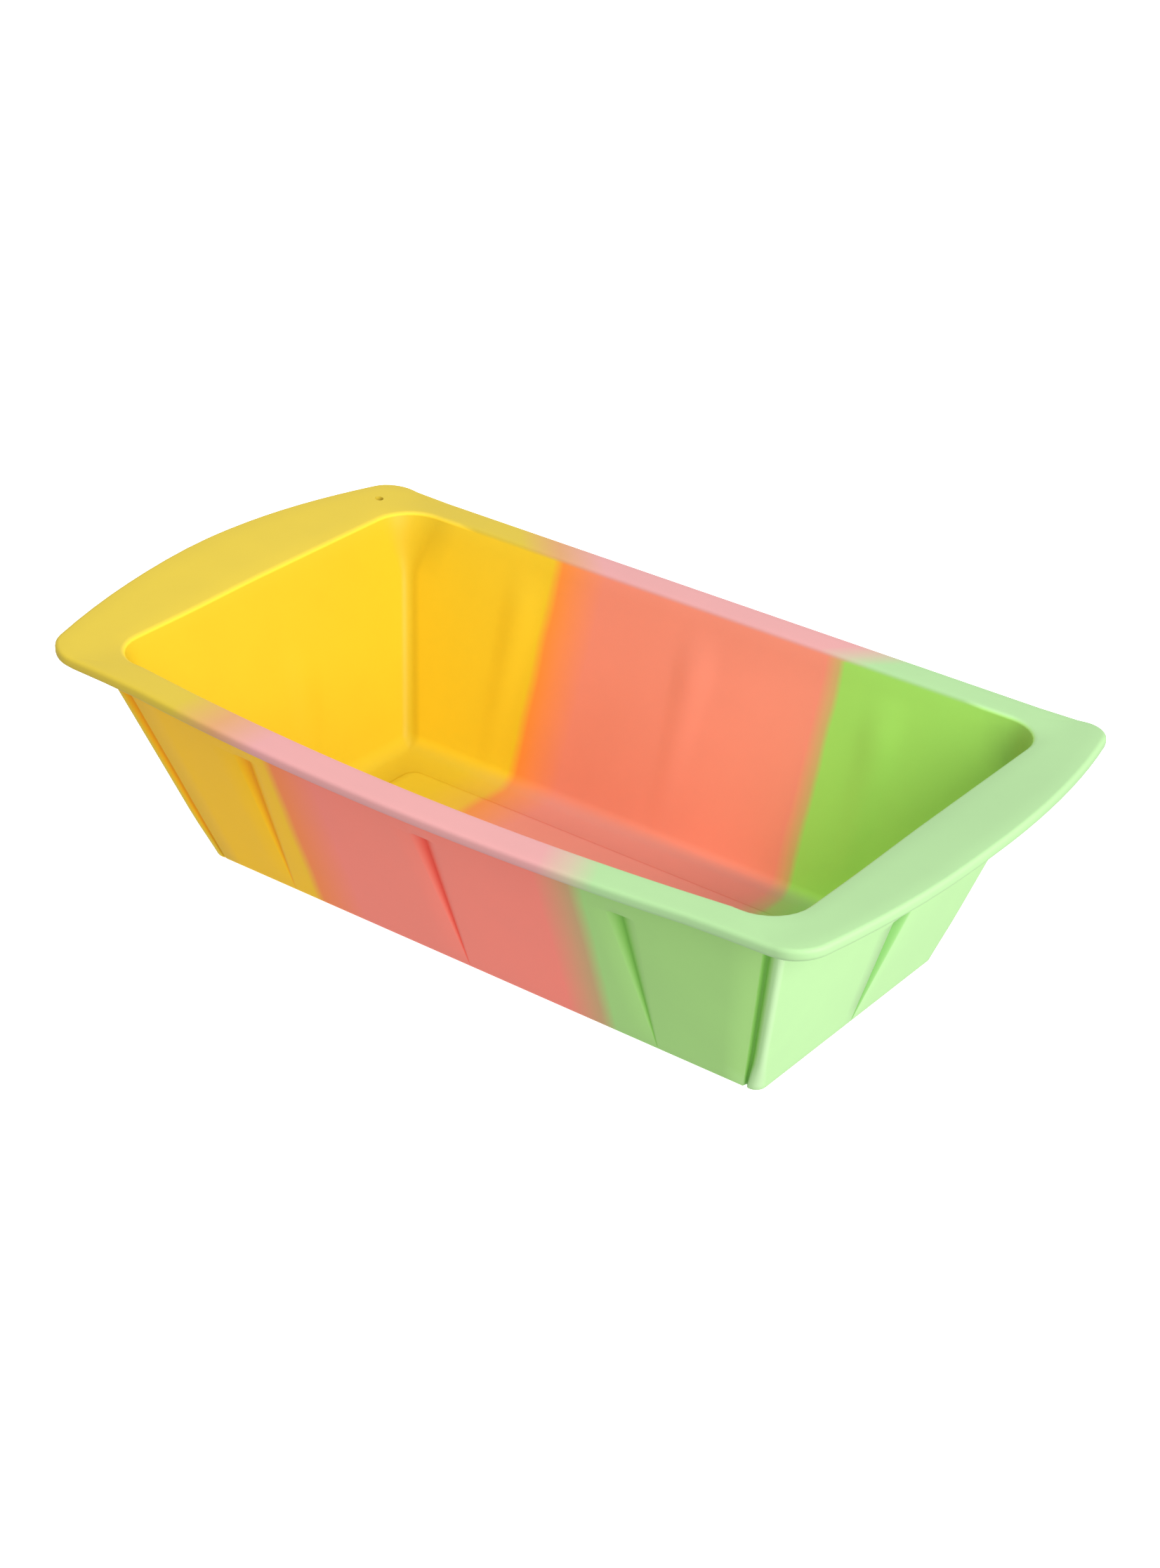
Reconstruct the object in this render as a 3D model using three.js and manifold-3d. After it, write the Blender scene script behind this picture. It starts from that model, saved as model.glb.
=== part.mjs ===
// A soft loaf mould for soap, pressed as one tray from three charges of coloured silicone.
// Millimetres, +Z up. The origin is the centre of the base's underside. +X runs along the
// tray towards the green handle, and the long wall on the -Y side bows outwards.
import * as THREE from "three";
import { mergeVertices } from "three/addons/utils/BufferGeometryUtils.js";
import Module from "manifold-3d";

const wasm = await Module();
wasm.setup();

const { clamp, lerp, smoothstep } = THREE.MathUtils;

// ---------- driving dimensions ----------
// Outlines are half sizes with a corner radius: the foot, the opening and the rim's edge.
const base = { length: 94.8, width: 42.6, corner: 3.2 };
const mouth = { length: 112.2, width: 63.6, corner: 12 };
const rim = { length: 125, width: 73.8, corner: 7.5 };
const outerCorner = { radius: 1.6, rise: 15 };  // the upright corners, rounder below this height
const innerCorner = 3;         // the upright corners are tighter inside than the mouth's
const plateauCorner = 4;

const rimHeight = 68.7;        // from the base's underside to the top of the long rims
const rimThickness = 3.5;
const rimRound = 1.2;          // rounding of the rim's outer edges
const lipRound = 1.1;          // rounding of the mouth's edge
const wall = 2.1;              // thickness of the long walls, measured level
const endWall = 2.9;
const floorThickness = 2.4;
const baseRound = 0.8;         // rounding of the foot's edge
const footRound = 4;           // inside rounding between the floor and the walls
const plateau = { inset: 9, height: 0.8, slope: 1.6 };  // raised middle of the floor

const handleCrown = 10.7;      // how far a handle's curved edge reaches past the rim's length
const handleRise = 4.1;        // how far the middle of a handle's edge turns up
const cornerRiseLoss = 0.41;   // share of that rise lost at the handle's corners
// How far the -Y rim bows out and sinks at mid length, and the share of it that the corners keep.
const bow = { out: 5.7, drop: 2, cornerShare: 0.25 };
const bowFade = 35;            // distance over which the bow dies out towards the middle

// A pleat is a fold pressed in from outside. Its core lies off its middle by a share of its half
// width, and an end pleat is half a dart, whose lean keeps one of its edges upright.
const sidePleats = { places: [-62.9, 0.2, 63.1], halfWidth: 4.3, depth: 2.4, top: 51, core: -0.3, lean: 0 };
const endPleats = { places: [0.7], halfWidth: 4.6, depth: 1.9, top: 34.5, core: -0.9, lean: 4.6 };
const pleatFoot = 2.2;         // height where the pleats run out to nothing
const pleatLid = 0.9;          // height of the ledge that closes a pleat on the outside
const ridge = { spread: 4.5, depthShare: 0.36, fade: 13 };  // a pleat's soft ridge inside
// Beside each corner of a long wall its panel ends in a groove, whose core and end lie at shares
// of the way to the corner. The panel's distance from the corner is given at the foot and the rim.
const panelStep = {
  depth: 1.3, coreShare: 0.18, endShare: 0.6, yellowEnd: [5, 6.6], greenEnd: [5, 6.2], insideLength: 2.5,
};

const pinHole = { x: -120, y: 60.5, radius: 1.3 };
const seams = [-53, 47.5];     // where yellow meets pink, and pink meets green
const seamGap = 0.3;

const spanSteps = 3;           // facets between two folds
const cornerSteps = 5;
const footSteps = 3;
const edgeSteps = 2;
const closedFold = 0.4;        // half width that a fold keeps where it has run out
const hairline = 0.2;          // smallest corner radius left where an outline has shrunk

// ---------- outlines ----------
function flare(z) {
  return z / rimHeight;
}

// The outside of the walls at height z: they flare evenly from the foot to the rim.
function outside(z) {
  return {
    length: lerp(base.length, mouth.length + endWall, flare(z)),
    width: lerp(base.width, mouth.width + wall, flare(z)),
    corner: lerp(base.corner, outerCorner.radius, smoothstep(z, 0, outerCorner.rise)),
  };
}

function inside(z) {
  return {
    length: outside(z).length - endWall,
    width: outside(z).width - wall,
    corner: lerp(innerCorner, mouth.corner, smoothstep(flare(z), 0.72, 1)),
  };
}

function shrunk(outline, inset) {
  return {
    length: outline.length - inset,
    width: outline.width - inset,
    corner: Math.max(outline.corner - inset, hairline),
  };
}

// Pleats widen from their foot to their top, where the outside closes with a short ledge and
// the ridge inside fades away.
function pleatsAt(pleats, level) {
  const soft = level.face === "inside";
  const growth = clamp((level.z - pleatFoot) / (pleats.top - pleatFoot), 0, 1);
  const fade = soft ? ridge.fade : pleatLid;
  const closing = level.face === "rim" ? 0 : clamp(1 - (level.z - pleats.top) / fade, 0, 1);
  const halfWidth = pleats.halfWidth * growth + (soft ? ridge.spread : closedFold);
  return pleats.places.map((place) => {
    const at = place + pleats.lean * growth;
    return {
      start: at - halfWidth,
      core: at + halfWidth * (soft ? 0 : pleats.core),
      end: at + halfWidth,
      depth: pleats.depth * growth * closing * (soft ? ridge.depthShare : 1),
    };
  });
}

// The grooves at both ends of a long wall's panel, which only the outside has.
function stepsAt(half, level) {
  const outer = level.face === "outside";
  const edgeAt = (places) => (
    outer ? level.outline.length - lerp(...places, flare(level.z)) : half - panelStep.insideLength
  );
  const depth = outer ? panelStep.depth : 0;
  const yellowEdge = -edgeAt(panelStep.yellowEnd);
  const greenEdge = edgeAt(panelStep.greenEnd);
  const { coreShare, endShare } = panelStep;
  return [
    { start: lerp(yellowEdge, -half, endShare), core: lerp(yellowEdge, -half, coreShare), end: yellowEdge, depth },
    { start: greenEdge, core: lerp(greenEdge, half, coreShare), end: lerp(greenEdge, half, endShare), depth },
  ];
}

// Stops along a straight side from -half to half, each with its push in from the side's face.
function sideStops(half, folds) {
  const stops = [{ at: -half, push: 0 }];
  const addSpan = (end) => {
    const start = stops.at(-1).at;
    for (let count = 1; count <= spanSteps; count += 1) {
      stops.push({ at: lerp(start, end, count / spanSteps), push: 0 });
    }
  };
  for (const fold of folds.toSorted((a, b) => a.core - b.core)) {
    if (fold.start > stops.at(-1).at) {
      addSpan(fold.start);
    }
    stops.push({ at: fold.core, push: fold.depth }, { at: fold.end, push: 0 });
  }
  if (half > stops.at(-1).at) {
    addSpan(half);
  }
  return stops;
}

// One closed outline, anticlockwise from the +X side, as points at the level's height.
function ringPoints(level) {
  const { outline, z } = level;
  const points = [];
  for (let side = 0; side < 4; side += 1) {
    const isLong = side % 2 === 1;
    const reach = isLong ? outline.width : outline.length;
    const half = (isLong ? outline.length : outline.width) - outline.corner;
    const turn = side * Math.PI / 2;
    const out = new THREE.Vector3(Math.round(Math.cos(turn)), Math.round(Math.sin(turn)), 0);
    const along = new THREE.Vector3(-out.y, out.x, 0);
    const folds = pleatsAt(isLong ? sidePleats : endPleats, level);
    if (isLong) {
      folds.push(...stepsAt(half, level));
    }
    // Folds are placed in +X or +Y, but two of the sides run the other way.
    const way = along.x + along.y;
    const stops = sideStops(half, folds);
    for (const { at, push } of way > 0 ? stops : stops.toReversed()) {
      points.push(out.clone().multiplyScalar(reach - push).addScaledVector(along, way * at));
    }
    for (let step = 1; step < cornerSteps; step += 1) {
      const angle = (step / cornerSteps) * Math.PI / 2;
      points.push(out.clone().multiplyScalar(reach - outline.corner * (1 - Math.cos(angle)))
        .addScaledVector(along, half + outline.corner * Math.sin(angle)));
    }
  }
  points.forEach((point) => {
    point.z = z;
  });
  return points;
}

// ---------- how the soft tray really stands ----------
// A handle's outer edge is curved in plan.
function crowned(point) {
  const bulge = handleCrown * (1 - (point.y / rim.width) ** 2);
  return point.setX(point.x + Math.sign(point.x) * bulge);
}

// The handles turn up towards their edges, and the -Y wall bows out and sinks a little.
function relaxed(point) {
  const onHandle = Math.max(Math.abs(point.x) - mouth.length, 0);
  const rise = handleRise * (1 - cornerRiseLoss * (point.y / rim.width) ** 2);
  point.z += rise * onHandle / (rim.length + handleCrown - mouth.length);

  const midShare = Math.max(1 - (point.x / mouth.length) ** 2, bow.cornerShare);
  const share = midShare * smoothstep(-point.y, 0, bowFade) * flare(point.z);
  point.y -= bow.out * share;
  point.z -= bow.drop * share;
  return point;
}

// ---------- section through the tray, from the floor's middle up, over and under ----------
// Quarter turns in plan inset and height, from one flat to the next.
function quarter(steps) {
  const turns = [];
  for (let step = 0; step <= steps; step += 1) {
    const angle = (step / steps) * Math.PI / 2;
    turns.push({ sin: Math.sin(angle), cos: Math.cos(angle) });
  }
  return turns;
}

function sectionLevels() {
  const levels = [];
  const add = (outline, z, face, curved = false) => levels.push({ outline, z, face, curved });
  const floor = inside(floorThickness);
  const plateauAt = (inset) => ({ ...shrunk(floor, footRound + inset), corner: plateauCorner });

  add(plateauAt(plateau.inset), floorThickness + plateau.height, "inside");
  add(plateauAt(plateau.inset - plateau.slope), floorThickness, "inside");
  for (const { sin, cos } of quarter(footSteps)) {
    const z = floorThickness + footRound * (1 - cos);
    add(shrunk(inside(z), footRound * (1 - sin)), z, "inside");
  }
  const ridgeHeights = [endPleats, sidePleats].flatMap(({ top }) => [top, top + ridge.fade]);
  for (const z of ridgeHeights) {
    add(inside(z), z, "inside");
  }
  const lipFoot = rimHeight - lipRound;
  for (const { sin, cos } of quarter(edgeSteps)) {
    const z = lipFoot + lipRound * sin;
    add(shrunk(inside(z), -lipRound * (1 - cos)), z, "inside");
  }
  for (const { sin, cos } of quarter(edgeSteps)) {
    add(shrunk(rim, rimRound * (1 - sin)), rimHeight - rimRound * (1 - cos), "rim", true);
  }
  for (const { sin, cos } of quarter(edgeSteps)) {
    const z = rimHeight - rimThickness + rimRound * (1 - sin);
    add(shrunk(rim, rimRound * (1 - cos)), z, "rim", true);
  }
  const underside = rimHeight - rimThickness;
  for (const z of [
    underside, sidePleats.top + pleatLid, sidePleats.top, endPleats.top + pleatLid, endPleats.top,
    outerCorner.rise, pleatFoot,
  ]) {
    add(outside(z), z, "outside");
  }
  for (const { sin, cos } of quarter(edgeSteps)) {
    const z = baseRound * (1 - sin);
    add(shrunk(outside(z), baseRound * (1 - cos)), z, "outside");
  }
  add(plateauAt(plateau.inset), 0, "rim");
  return levels;
}

// ---------- the closed skin ----------
function trayGeometry() {
  const rings = sectionLevels().map((level) => {
    const points = ringPoints(level);
    return (level.curved ? points.map(crowned) : points).map(relaxed);
  });
  const count = rings[0].length;
  const floorMiddle = new THREE.Vector3(0, 0, rings[0][0].z);
  const baseMiddle = new THREE.Vector3(0, 0, 0);
  const vertices = [...rings.flat(), floorMiddle, baseMiddle];
  const floorIndex = rings.length * count;
  const lastRing = (rings.length - 1) * count;

  const faces = [];
  for (let i = 0; i < count; i += 1) {
    const next = (i + 1) % count;
    faces.push(floorIndex, i, next);
    for (let ring = 0; ring < lastRing; ring += count) {
      faces.push(ring + i, ring + count + i, ring + count + next);
      faces.push(ring + i, ring + count + next, ring + next);
    }
    faces.push(floorIndex + 1, lastRing + next, lastRing + i);
  }
  const geometry = new THREE.BufferGeometry().setFromPoints(vertices);
  geometry.setIndex(faces);
  return geometry;
}

// ---------- solids ----------
function solidFrom(geometry) {
  const bare = geometry.clone();
  bare.deleteAttribute("normal");
  bare.deleteAttribute("uv");
  const welded = mergeVertices(bare, 1e-4);
  return new wasm.Manifold(new wasm.Mesh({
    numProp: 3,
    vertProperties: Float32Array.from(welded.attributes.position.array),
    triVerts: Uint32Array.from(welded.index.array),
  }));
}

function geometryFrom(solid) {
  const mesh = solid.getMesh();
  const geometry = new THREE.BufferGeometry();
  geometry.setAttribute("position", new THREE.BufferAttribute(mesh.vertProperties, mesh.numProp));
  geometry.setIndex(new THREE.BufferAttribute(mesh.triVerts, 1));
  geometry.computeVertexNormals();
  return geometry;
}

function drill() {
  const through = 4 * rimThickness;
  const pin = new THREE.CylinderGeometry(pinHole.radius, pinHole.radius, through, 16);
  pin.rotateX(Math.PI / 2);
  pin.translate(pinHole.x, pinHole.y, rimHeight);
  return solidFrom(pin);
}

// A block that holds everything between two planes across the tray.
function slab(fromX, toX) {
  const block = new THREE.BoxGeometry(toX - fromX, 4 * rim.width, 4 * rimHeight);
  block.translate((fromX + toX) / 2, 0, 0);
  return solidFrom(block);
}

const silicone = (name, color) => new THREE.MeshStandardMaterial({
  name, color, roughness: 0.45, metalness: 0,
});

const beyond = 2 * rim.length;
const charges = [
  { name: "yellow_end", fromX: -beyond, toX: seams[0] - seamGap / 2, color: 0xf2c62e },
  { name: "pink_middle", fromX: seams[0] + seamGap / 2, toX: seams[1] - seamGap / 2, color: 0xf28c80 },
  { name: "green_end", fromX: seams[1] + seamGap / 2, toX: beyond, color: 0xa6dc86 },
];

const mould = new THREE.Group();
const tray = solidFrom(trayGeometry()).subtract(drill());
for (const { name, fromX, toX, color } of charges) {
  const mesh = new THREE.Mesh(geometryFrom(tray.intersect(slab(fromX, toX))), silicone(name, color));
  mesh.name = name;
  mould.add(mesh);
}

export default mould;
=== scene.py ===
import math
from collections import namedtuple

import bmesh
import bpy
from bpy.props import EnumProperty, FloatProperty, FloatVectorProperty, PointerProperty
from mathutils import Matrix, Vector


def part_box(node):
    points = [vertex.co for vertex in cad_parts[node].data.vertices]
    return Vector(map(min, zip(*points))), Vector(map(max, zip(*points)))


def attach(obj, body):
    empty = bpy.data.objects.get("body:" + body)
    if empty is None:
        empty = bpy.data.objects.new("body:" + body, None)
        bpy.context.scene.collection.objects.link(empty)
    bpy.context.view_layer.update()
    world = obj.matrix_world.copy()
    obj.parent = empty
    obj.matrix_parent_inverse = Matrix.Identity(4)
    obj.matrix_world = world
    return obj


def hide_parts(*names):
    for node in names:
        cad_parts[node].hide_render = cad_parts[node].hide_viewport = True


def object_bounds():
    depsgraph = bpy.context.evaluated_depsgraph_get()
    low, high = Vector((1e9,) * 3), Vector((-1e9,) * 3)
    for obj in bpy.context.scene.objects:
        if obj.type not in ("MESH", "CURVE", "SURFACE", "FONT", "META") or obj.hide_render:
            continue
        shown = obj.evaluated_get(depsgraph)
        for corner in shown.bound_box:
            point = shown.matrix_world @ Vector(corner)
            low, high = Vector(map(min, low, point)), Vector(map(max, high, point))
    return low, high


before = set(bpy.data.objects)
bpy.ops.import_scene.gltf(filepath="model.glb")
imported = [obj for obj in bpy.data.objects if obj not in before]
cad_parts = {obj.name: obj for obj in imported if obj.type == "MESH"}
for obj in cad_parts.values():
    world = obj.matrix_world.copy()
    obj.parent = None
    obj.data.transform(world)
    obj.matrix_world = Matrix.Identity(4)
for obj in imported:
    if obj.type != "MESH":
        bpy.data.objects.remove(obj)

bl_info = {
    "name": "Silicone loaf mould",
    "version": (1, 0, 0),
    "blender": (4, 5, 0),
    "location": "3D View > Sidebar > Loaf mould",
    "description": "Presses a soft three-colour loaf mould and sets it on a studio sweep",
    "category": "Add Mesh",
}

MM = 0.001
CAD_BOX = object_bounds()

# ---------- outlines of the tray, as half sizes with a corner radius ----------
# The foot, the opening and the rim's outer edge.
Outline = namedtuple("Outline", "length width corner")

BASE = Outline(94.8 * MM, 42.6 * MM, 3.2 * MM)
MOUTH = Outline(112.2 * MM, 63.6 * MM, 12 * MM)
RIM = Outline(125 * MM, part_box("green_end")[1].y, 7.5 * MM)
OUTER_CORNER = 1.6 * MM             # the walls' upright corners, which are rounder at the foot
OUTER_CORNER_RISE = 15 * MM
INNER_CORNER = 3 * MM               # the upright corners are tighter inside than the mouth's
MOUTH_CORNER_START = 0.72           # share of the height above which they round out to the mouth's
PLATEAU_CORNER = 4 * MM
HANDLE_CROWN = CAD_BOX[1].x - RIM.length  # how far a handle's curved edge reaches past the rim
HANDLE_CORNER_LOSS = 0.41           # share of a handle's rise lost at its corners
HANDLE_START = MOUTH.length - 20 * MM  # past this x the rim's edge curves out into a handle
RIM_FILLET = 0.8 * MM               # where the walls run into the rim's underside
FILLET_ACROSS = 0.6                 # it meets the colours this share of the way from lip to edge
BOW_FADE = 35 * MM                  # distance over which the bow dies out towards the middle
CORNER_BOW = 0.25                   # share of the bow that reaches the corners

# ---------- folds pressed into the walls ----------
# A fold's core lies at a share of its half width from its middle. Its two flanks curve, and painted shade
# deepens its colour towards the core, by a curve and up to a strength: 1 for the tones' full painted fold
# shade.
Fold = namedtuple("Fold", "core near_curve far_curve deepening dye")
PLEAT_FOLD = Fold(-0.3, 1.1, 1.5, 1.6, 1.0)
DART_FOLD = Fold(-0.92, 1.0, 0.8, 0.45, 1.5)
STEP_PAINTED_SHADE = 1.1                      # painted shade in the grooves beside the corners
FAR_CORNER_PAINTED_SHADE = 0.9                # painted shade on an upright corner of the straight wall, which turns from the light
ARRIS_PAINTED_HIGHLIGHT = -0.3                    # painted highlight on one of the bowed wall
PLATEAU_PAINTED_SHADE = 0.45                  # painted shade line on the slope round the floor's raised middle
SIDE_PLEATS = (-62.9 * MM, 0.2 * MM, 63.1 * MM)
DART_EDGE = 0.7 * MM                # y of the end pleats' upright edge
PLEAT_FOOT = 2.2 * MM               # height where the pleats run out to nothing
PLEAT_LEDGE = 0.9 * MM              # height over which a pleat's flat top closes
RIDGE_SPREAD = 4.5 * MM             # how much wider a pleat's soft ridge is inside the tray
RIDGE_SHARE = 0.36                  # how deep that ridge is, as a share of the pleat
RIDGE_FADE = 13 * MM                # height over which it fades out above the pleat
# Beside each corner of a long wall its panel ends in a groove. These give the panel's edge from
# the corner, at the foot and at the rim, for each end, and the groove's depth on the way there.
STEP_PLACES = {-1: (5 * MM, 6.6 * MM), 1: (5 * MM, 6.2 * MM)}
STEP_PROFILE = (
    (0, 0), (0.08, 0.3), (0.17, 0.82), (0.26, 1), (0.38, 0.84), (0.52, 0.42), (0.68, 0.12), (0.88, 0),
)
STEP_INSIDE = 2.5 * MM              # length of the same stops inside, where they don't show
CLOSED_FOLD = 0.4 * MM              # half width that a fold keeps where it has run out
HAIRLINE = 0.15 * MM                # smallest corner radius left where an outline has shrunk

# ---------- painted light: how pale and how bright the thick parts and edges are painted ---
# Gains are painted light: shares by which a part is painted brighter or, below nought, painted darker than
# the walls' outside.
END_PALENESS = 0.85                 # the end walls are thicker and face the key light: painted nearly as pale as the rim, and painted brighter
END_PAINTED_LIGHT = 0.15
FLOOR_PALENESS = 0.3                # the floor is painted a little paler too, and painted shade darkens it, as no light comes through it
FLOOR_PAINTED_SHADE = -0.13
INSIDE_PAINTED_LIGHT = (0.04, -0.04)        # painted light on the walls' inside, at the foot and at the rim
# painted shade on the inside of the end walls and in the inside's upright corners
INSIDE_END_PAINTED_SHADE = -0.16
INSIDE_CORNER_PAINTED_SHADE = -0.06
LIP_PAINTED_HIGHLIGHT = 0.22                     # painted highlight on the mouth's edge, and painted shade on the straight wall's
FAR_LIP_PAINTED_SHADE = -0.12
FAR_LIP = 50 * MM                   # y past which the lip is the straight wall's
LIP_START = 0.984                   # share of the height where the lip's pale colour starts
LIP_RUN = 0.014
# Painted light: light from beside the green end comes through it, so the foot of the walls near it is
# painted brighter.
GLOW_PAINTED_LIGHT = 0.42
GLOW_START = -30 * MM
GLOW_REACH = 70 * MM
FLOOR_FADE = 0.8                    # share of the inside rounding over which the floor's look fades out

# ---------- where the colours meet ----------
# The three charges are cut apart at these planes. Their colours mingle round lines that wander
# off the planes: x in millimetres at the foot and top of the walls, at the mouth's lip and at
# the rim's edge, each on the bowed side and on the straight one.
CUTS = (-53 * MM, 47.5 * MM)
Seam = namedtuple("Seam", "foot top lip edge")
SEAMS = {
    "yellow": Seam((-53.6, -52.8), (-54, -53), (-61, -53), (-61, -60.5)),
    "green": Seam((45.5, 46.3), (48.6, 46), (53.5, 47), (57, 54.5)),
}

# ---------- how far the colours run, in millimetres past a seam ----------
# On the thick rim they drift far into each other. On the walls yellow stops short and tints the
# pink beyond it orange.
RIM_YELLOW_RUN = ((-15, "yellow"), (0, "orange"), (16, "pink"))
RIM_GREEN_RUN = ((-9, "pink"), (0, "sand"), (8, "green"))
WALL_YELLOW_RUN = ((-1.8, "yellow"), (1.8, "orange"), (17, "pink"))
OUTER_GREEN_RUN = ((-11, "pink"), (0, "sand"), (4.5, "green"))
INNER_GREEN_RUN = ((-5, "pink"), (-0.5, "sand"), (1.5, "green"))
RUN_REACH = 20 * MM                 # the longest run that a ramp can hold
HANDOVER = (-16 * MM, -12 * MM)     # before the green seam, where its ramp takes over from yellow's

# ---------- the silicone's grain ----------
CLOUD_GRAIN = 22 * MM               # patches where the pigment is a little stronger or weaker
CLOUD_STRENGTH = (0.965, 1.035)
PIT_GRAIN = 0.45 * MM               # the tool's blasted face, really 0.1 mm, coarsened so it shows
PIT_DEPTH = 0.012 * MM
RIPPLE_GRAIN = 16 * MM              # a soft moulding never sets quite flat
RIPPLE_DEPTH = 0.12 * MM
SATIN = (0.42, 0.52)                # roughness

# ---------- how finely the skin is divided ----------
CORNER_STEPS = 8
ROUND_STEPS = 4
FLANK_STEPS = (6, 10)               # before and after a fold's core
SIDE_SPANS = (1, 4, 2, 7, 7, 2, 4, 1)  # between the folds and cuts along a long side
END_SPANS = (8, 8)
WALL_STEP = 5 * MM
PIN_STEPS = 32

PIN = Vector((-120 * MM, 60.5 * MM, 0))  # where a moulding pin leaves its hole
PIN_MARGIN = 1.01                   # radii from the pin's middle within which lies the hole's wall

# ---------- the three charges, with their material slots and where each lies along x ----------
PIECES = {
    "yellow_end": "yellow_silicone",
    "pink_middle": "pink_silicone",
    "green_end": "green_silicone",
}
SPANS = {
    "yellow_end": (-math.inf, CUTS[0]),
    "pink_middle": CUTS,
    "green_end": (CUTS[1], math.inf),
}

# ---------- the studio ----------
SWEEP_REACH = 12.0
SWEEP_DROP = 0.05 * MM              # keeps the sweep just clear of the base
LAMP_DISTANCE = 1.5
LAMP_SIZE = 0.9
KEY_DIRECTION = Vector((0.872, -0.217, 0.438))
TOP_DIRECTION = Vector((-0.10, -0.15, 0.98))
CAMERA_AZIMUTH = math.radians(36.145)
CAMERA_ELEVATION = math.radians(28.942)
CAMERA_ROLL = math.radians(2.002)
CAMERA_DISTANCE = 889.7 * MM
CAMERA_TARGET = Vector((-7.393, 14.931, 30)) * MM
CAMERA_LENS = 72.54


def mix(a, b, share):
    return a + (b - a) * share


def clamp(value):
    return min(max(value, 0.0), 1.0)


def smooth(value):
    share = clamp(value)
    return share * share * (3 - 2 * share)


# ================= the tray's skin =================
Level = namedtuple("Level", "outline z face across")
SOFT_FACES = ("floor", "inside")    # where folds show only as soft ridges
TRAITS = ("past_yellow", "past_green", "rim_share", "inner_share", "painted_shade_and_highlight", "painted_gain")


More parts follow.
